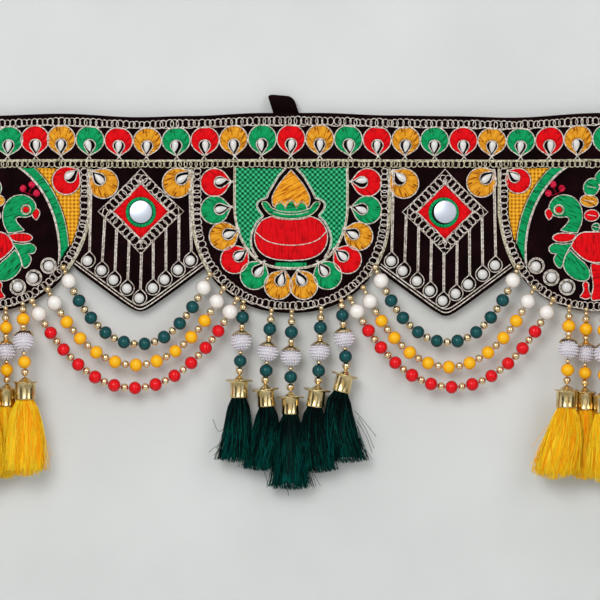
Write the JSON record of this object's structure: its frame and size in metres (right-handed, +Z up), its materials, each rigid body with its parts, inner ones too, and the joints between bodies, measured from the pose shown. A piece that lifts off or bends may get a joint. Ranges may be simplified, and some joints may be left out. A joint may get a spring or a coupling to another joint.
{
  "type": "toran door hanging",
  "caption": "Festive hanging for a doorway: dark velvet with embroidered panels, mirrors, bead swags and silk tassels in brass caps.",
  "frame": {"origin": "middle of the top edge, on the cloth's back", "axes": "+Z up, -Y forward to the viewer, +X to the viewer's right"},
  "size_m": [0.648, 0.0335, 0.3168],
  "materials": {
    "velvet": "dark maroon velvet",
    "mirror": "round glass mirror",
    "brass": "polished brass plate",
    "green_beads": "gloss",
    "yellow_beads": "satin",
    "red_beads": "gloss",
    "green_silk": "silk thread",
    "yellow_silk": "silk thread"
  },
  "bodies": {
    "root": {"cloth": "velvet", "hanging_loop_left": "velvet", "hanging_loop_middle": "velvet", "hanging_loop_right": "velvet", "mirror_left": "mirror", "mirror_right": "mirror", "swag_left_green": "green_beads", "swag_left_yellow": "yellow_beads", "swag_left_red": "red_beads", "swag_right_green": "green_beads", "swag_right_yellow": "yellow_beads", "swag_right_red": "red_beads", "bead_string_middle_1": "green_beads", "brass_cap_middle_1": "brass", "tassel_middle_1": "green_silk", "bead_string_middle_2": "green_beads", "brass_cap_middle_2": "brass", "tassel_middle_2": "green_silk", "bead_string_middle_3": "green_beads", "brass_cap_middle_3": "brass", "tassel_middle_3": "green_silk", "bead_string_middle_4": "green_beads", "brass_cap_middle_4": "brass", "tassel_middle_4": "green_silk", "bead_string_middle_5": "green_beads", "brass_cap_middle_5": "brass", "tassel_middle_5": "green_silk", "bead_string_far_left_1": "yellow_beads", "brass_cap_far_left_1": "brass", "tassel_far_left_1": "yellow_silk", "bead_string_far_left_2": "yellow_beads", "brass_cap_far_left_2": "brass", "tassel_far_left_2": "yellow_silk", "bead_string_far_left_3": "yellow_beads", "brass_cap_far_left_3": "brass", "tassel_far_left_3": "yellow_silk", "bead_string_far_left_4": "yellow_beads", "brass_cap_far_left_4": "brass", "tassel_far_left_4": "yellow_silk", "bead_string_far_left_5": "yellow_beads", "brass_cap_far_left_5": "brass", "tassel_far_left_5": "yellow_silk", "bead_string_far_right_1": "yellow_beads", "brass_cap_far_right_1": "brass", "tassel_far_right_1": "yellow_silk", "bead_string_far_right_2": "yellow_beads", "brass_cap_far_right_2": "brass", "tassel_far_right_2": "yellow_silk", "bead_string_far_right_3": "yellow_beads", "brass_cap_far_right_3": "brass", "tassel_far_right_3": "yellow_silk", "bead_string_far_right_4": "yellow_beads", "brass_cap_far_right_4": "brass", "tassel_far_right_4": "yellow_silk", "bead_string_far_right_5": "yellow_beads", "brass_cap_far_right_5": "brass", "tassel_far_right_5": "yellow_silk"}
  },
  "joints": []
}
